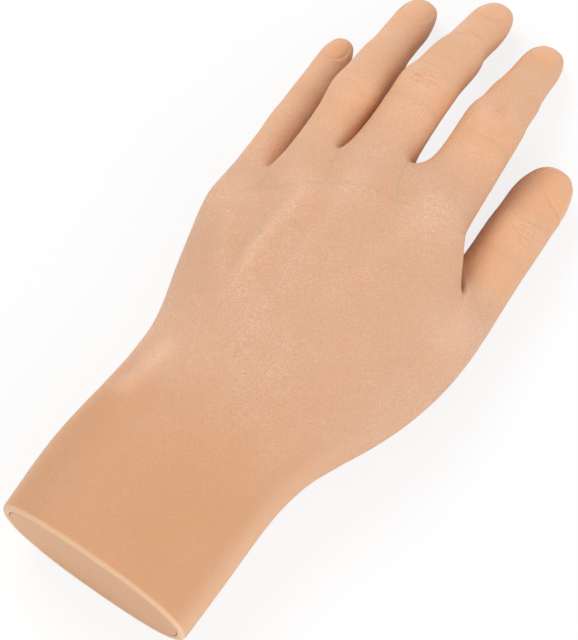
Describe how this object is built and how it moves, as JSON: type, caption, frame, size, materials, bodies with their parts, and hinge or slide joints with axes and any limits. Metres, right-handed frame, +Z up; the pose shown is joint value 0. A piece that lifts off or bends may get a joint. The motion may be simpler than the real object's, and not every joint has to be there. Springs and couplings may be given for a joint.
{
  "type": "silicone hand model",
  "caption": "Life-size silicone hand lying palm down on a short wrist stub, with hinged bones inside so that each finger and the thumb can be curled and posed.",
  "frame": {"origin": "centre of the bounding box at the level of the table", "axes": "+Y from the wrist cut to the fingertips, +X to the thumb side, +Z up from the table through the back of the hand"},
  "size_m": [0.098, 0.2296, 0.0435],
  "materials": {
    "skin": "satin flesh-coloured silicone, slightly translucent",
    "plug": "matt, slightly greyer than the skin",
    "bone": "matt moulded nylon",
    "pin": "drawn wire"
  },
  "bodies": {
    "palm": {"palm_skin": "skin", "knuckle_web": "skin", "thumb_mcp_band": "skin", "wrist_plug": "plug", "palm_frame": "bone", "thumb_mcp_pin": "pin", "index_mcp_pin": "pin", "middle_mcp_pin": "pin", "ring_mcp_pin": "pin", "little_mcp_pin": "pin"},
    "thumb_proximal": {"thumb_proximal_skin": "skin", "thumb_proximal_bone": "bone", "thumb_ip_pin": "pin", "thumb_ip_band": "skin"},
    "thumb_distal": {"thumb_distal_skin": "skin", "thumb_distal_bone": "bone"},
    "index_proximal": {"index_proximal_skin": "skin", "index_proximal_bone": "bone", "index_pip_pin": "pin", "index_pip_band": "skin"},
    "index_middle": {"index_middle_skin": "skin", "index_middle_bone": "bone", "index_dip_pin": "pin", "index_dip_band": "skin"},
    "index_distal": {"index_distal_skin": "skin", "index_distal_bone": "bone"},
    "middle_proximal": {"middle_proximal_skin": "skin", "middle_proximal_bone": "bone", "middle_pip_pin": "pin", "middle_pip_band": "skin"},
    "middle_middle": {"middle_middle_skin": "skin", "middle_middle_bone": "bone", "middle_dip_pin": "pin", "middle_dip_band": "skin"},
    "middle_distal": {"middle_distal_skin": "skin", "middle_distal_bone": "bone"},
    "ring_proximal": {"ring_proximal_skin": "skin", "ring_proximal_bone": "bone", "ring_pip_pin": "pin", "ring_pip_band": "skin"},
    "ring_middle": {"ring_middle_skin": "skin", "ring_middle_bone": "bone", "ring_dip_pin": "pin", "ring_dip_band": "skin"},
    "ring_distal": {"ring_distal_skin": "skin", "ring_distal_bone": "bone"},
    "little_proximal": {"little_proximal_skin": "skin", "little_proximal_bone": "bone", "little_pip_pin": "pin", "little_pip_band": "skin"},
    "little_middle": {"little_middle_skin": "skin", "little_middle_bone": "bone", "little_dip_pin": "pin", "little_dip_band": "skin"},
    "little_distal": {"little_distal_skin": "skin", "little_distal_bone": "bone"}
  },
  "joints": [
    {"name": "thumb_mcp", "type": "hinge", "parent": "palm", "child": "thumb_proximal", "pos_m": [0.03874, 0.00968, 0.0165], "axis": [-0.9995, -0.0332, 0], "range_deg": [-10, 25], "deforming": ["thumb_mcp_band"]},
    {"name": "thumb_ip", "type": "hinge", "parent": "thumb_proximal", "child": "thumb_distal", "pos_m": [0.03756, 0.04514, 0.01526], "axis": [-0.9995, -0.0332, 0], "range_deg": [-10, 45], "deforming": ["thumb_ip_band"]},
    {"name": "index_mcp", "type": "hinge", "parent": "palm", "child": "index_proximal", "pos_m": [0.01794, 0.02618, 0.031], "axis": [-0.9962, -0.0872, 0], "range_deg": [-8, 30], "deforming": ["knuckle_web"]},
    {"name": "index_pip", "type": "hinge", "parent": "index_proximal", "child": "index_middle", "pos_m": [0.01425, 0.06836, 0.0273], "axis": [-0.9962, -0.0872, 0], "range_deg": [-10, 60], "deforming": ["index_pip_band"]},
    {"name": "index_dip", "type": "hinge", "parent": "index_middle", "child": "index_distal", "pos_m": [0.01246, 0.08884, 0.0159], "axis": [-0.9962, -0.0872, 0], "range_deg": [-6, 40], "deforming": ["index_dip_band"]},
    {"name": "middle_mcp", "type": "hinge", "parent": "palm", "child": "middle_proximal", "pos_m": [-0.00616, 0.02168, 0.032], "axis": [-0.9917, -0.0746, -0.1045], "range_deg": [-8, 30], "deforming": ["knuckle_web"]},
    {"name": "middle_pip", "type": "hinge", "parent": "middle_proximal", "child": "middle_middle", "pos_m": [-0.00916, 0.06597, 0.02891], "axis": [-0.9917, -0.0746, -0.1045], "range_deg": [-10, 60], "deforming": ["middle_pip_band"]},
    {"name": "middle_dip", "type": "hinge", "parent": "middle_middle", "child": "middle_distal", "pos_m": [-0.00982, 0.09092, 0.01735], "axis": [-0.9917, -0.0746, -0.1045], "range_deg": [-6, 40], "deforming": ["middle_dip_band"]},
    {"name": "ring_mcp", "type": "hinge", "parent": "palm", "child": "ring_proximal", "pos_m": [-0.02206, 0.01218, 0.0305], "axis": [-0.9942, -0.108, 0], "range_deg": [-8, 30], "deforming": ["knuckle_web"]},
    {"name": "ring_pip", "type": "hinge", "parent": "ring_proximal", "child": "ring_middle", "pos_m": [-0.02642, 0.05235, 0.02767], "axis": [-0.9942, -0.108, 0], "range_deg": [-10, 60], "deforming": ["ring_pip_band"]},
    {"name": "ring_dip", "type": "hinge", "parent": "ring_middle", "child": "ring_distal", "pos_m": [-0.02912, 0.07713, 0.01605], "axis": [-0.9942, -0.108, 0], "range_deg": [-6, 40], "deforming": ["ring_dip_band"]},
    {"name": "little_mcp", "type": "hinge", "parent": "palm", "child": "little_proximal", "pos_m": [-0.03606, -0.00182, 0.0265], "axis": [-0.9934, -0.1149, 0], "range_deg": [-8, 30], "deforming": ["knuckle_web"]},
    {"name": "little_pip", "type": "hinge", "parent": "little_proximal", "child": "little_middle", "pos_m": [-0.04035, 0.03529, 0.01719], "axis": [-0.9934, -0.1149, 0], "range_deg": [-10, 60], "deforming": ["little_pip_band"]},
    {"name": "little_dip", "type": "hinge", "parent": "little_middle", "child": "little_distal", "pos_m": [-0.04257, 0.05448, 0.01201], "axis": [-0.9934, -0.1149, 0], "range_deg": [-6, 40], "deforming": ["little_dip_band"]}
  ]
}
